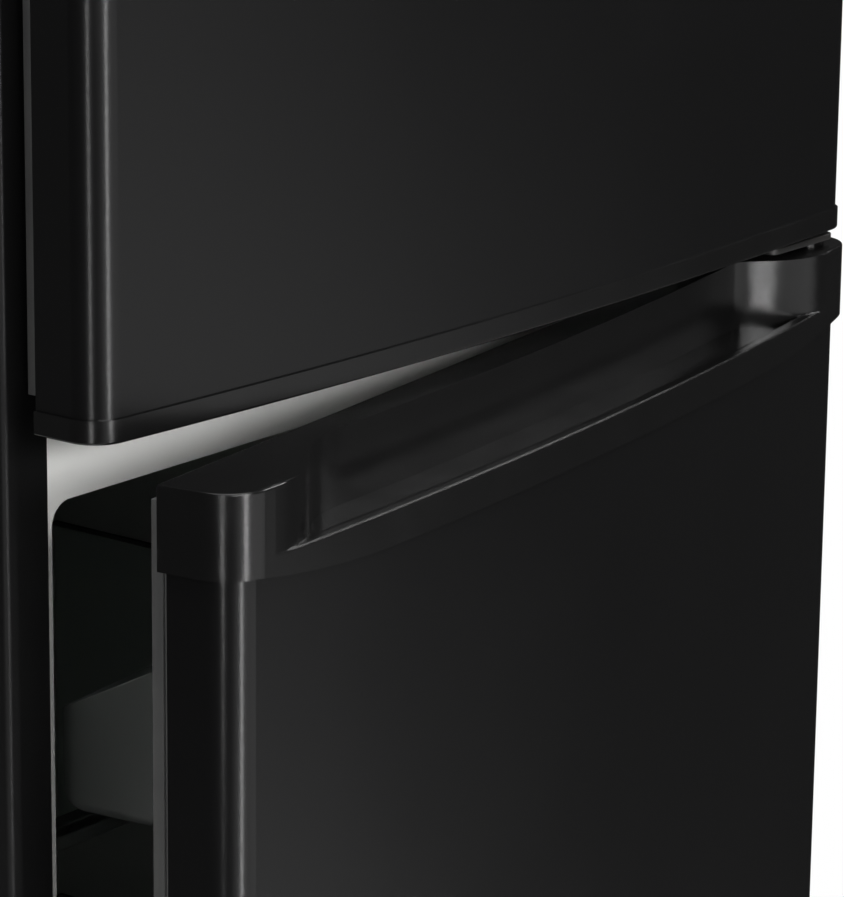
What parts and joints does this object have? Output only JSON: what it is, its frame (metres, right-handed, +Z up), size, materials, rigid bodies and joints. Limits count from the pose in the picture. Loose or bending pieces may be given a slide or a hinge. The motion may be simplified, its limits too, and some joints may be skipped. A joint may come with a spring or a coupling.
{
  "type": "top freezer refrigerator",
  "caption": "Free-standing refrigerator with a freezer door above a taller food door, bowed fronts, a scooped handle cap and a rear wire condenser.",
  "frame": {"origin": "floor level under the middle of the whole appliance, with the lower door ajar as stored", "axes": "+Z up, the doors face -Y, +X to the right as seen from the front; the door hinges are on the +X side"},
  "size_m": [0.5491, 0.6382, 1.445],
  "materials": {
    "black_steel": "satin",
    "black_plastic": "satin",
    "white_plastic": "satin",
    "grey_steel": "satin",
    "zinc_steel": "satin",
    "foam": "matte",
    "gasket": "matte",
    "clear_plastic": "satin",
    "shelf_glass": "gloss",
    "aluminium": "satin",
    "black_paint": "gloss",
    "copper": "satin",
    "rubber": "matte",
    "lamp_glass": "gloss",
    "frosted_cover": "matte"
  },
  "bodies": {
    "cabinet": {"cabinet_shell": "black_steel", "back_panel": "grey_steel", "base_panel": "black_steel", "mullion_cover": "white_plastic", "fridge_liner": "white_plastic", "freezer_liner": "white_plastic", "freezer_evaporator": "aluminium", "drain_tube": "white_plastic", "insulation_foam": "foam", "fridge_cold_plate": "aluminium", "upper_shelf": "shelf_glass", "lower_shelf": "shelf_glass", "crisper_cover": "shelf_glass", "shelf_trims": "white_plastic", "freezer_shelf": "white_plastic", "control_housing": "white_plastic", "lamp": "lamp_glass", "lamp_cover": "frosted_cover", "top_hinge": "zinc_steel", "middle_hinge": "black_paint", "bottom_hinge": "zinc_steel", "hinge_screws": "zinc_steel", "top_hinge_cover": "black_plastic", "toe_grille": "black_plastic", "foot_inserts": "black_plastic", "compressor_tray": "zinc_steel", "roller_forks": "zinc_steel", "compressor_grommets": "rubber", "compressor": "black_paint", "start_relay": "black_plastic", "drip_pan": "black_plastic", "condenser_tube": "black_paint", "condenser_grid": "black_paint", "condenser_clips": "black_plastic", "filter_drier": "copper", "refrigerant_pipes": "copper"},
    "freezer_door": {"freezer_door_skin": "black_steel", "freezer_door_foam": "foam", "freezer_door_liner": "white_plastic", "freezer_door_gasket": "gasket", "freezer_door_bottom_cap": "black_plastic", "freezer_door_top_cap": "black_plastic", "freezer_door_bin": "clear_plastic"},
    "fridge_door": {"fridge_door_skin": "black_steel", "fridge_door_foam": "foam", "fridge_door_liner": "white_plastic", "fridge_door_gasket": "gasket", "fridge_door_bottom_cap": "black_plastic", "fridge_door_handle_cap": "black_plastic", "upper_door_bin": "clear_plastic", "middle_door_bin": "clear_plastic", "bottle_bin": "clear_plastic"},
    "thermostat_knob": {"thermostat_knob": "white_plastic"},
    "switch_plunger": {"switch_plunger": "white_plastic"},
    "crisper": {"crisper_drawer": "clear_plastic"},
    "left_foot": {"left_foot": "black_plastic"},
    "right_foot": {"right_foot": "black_plastic"},
    "left_roller": {"left_roller": "black_plastic"},
    "right_roller": {"right_roller": "black_plastic"}
  },
  "joints": [
    {"name": "freezer_door_hinge", "type": "hinge", "parent": "cabinet", "child": "freezer_door", "pos_m": [0.2565, -0.236, 1.2], "axis": [0, 0, 1], "range_deg": [0, 115]},
    {"name": "fridge_door_hinge", "type": "hinge", "parent": "cabinet", "child": "fridge_door", "pos_m": [0.2565, -0.236, 0.5], "axis": [0, 0, 1], "range_deg": [-7.2, 108]},
    {"name": "thermostat_turn", "type": "hinge", "parent": "cabinet", "child": "thermostat_knob", "pos_m": [0.022, -0.096, 0.9271], "axis": [0, -1, 0], "range_deg": [0, 270]},
    {"name": "switch_press", "type": "slide", "parent": "cabinet", "child": "switch_plunger", "axis": [0, 1, 0], "range_m": [0, 0.008], "stiffness_N_per_m": 120},
    {"name": "crisper_slide", "type": "slide", "parent": "cabinet", "child": "crisper", "axis": [0, -1, 0], "range_m": [0, 0.026]},
    {"name": "left_foot_screw", "type": "hinge", "parent": "cabinet", "child": "left_foot", "pos_m": [-0.232, -0.152, 0.02], "axis": [0, 0, 1], "range_deg": [-180, 180]},
    {"name": "right_foot_screw", "type": "hinge", "parent": "cabinet", "child": "right_foot", "pos_m": [0.232, -0.152, 0.02], "axis": [0, 0, 1], "range_deg": [-180, 180]},
    {"name": "left_roller_spin", "type": "hinge", "parent": "cabinet", "child": "left_roller", "pos_m": [-0.226, 0.266, 0.013], "axis": [1, 0, 0], "continuous": true},
    {"name": "right_roller_spin", "type": "hinge", "parent": "cabinet", "child": "right_roller", "pos_m": [0.226, 0.266, 0.013], "axis": [1, 0, 0], "continuous": true}
  ]
}
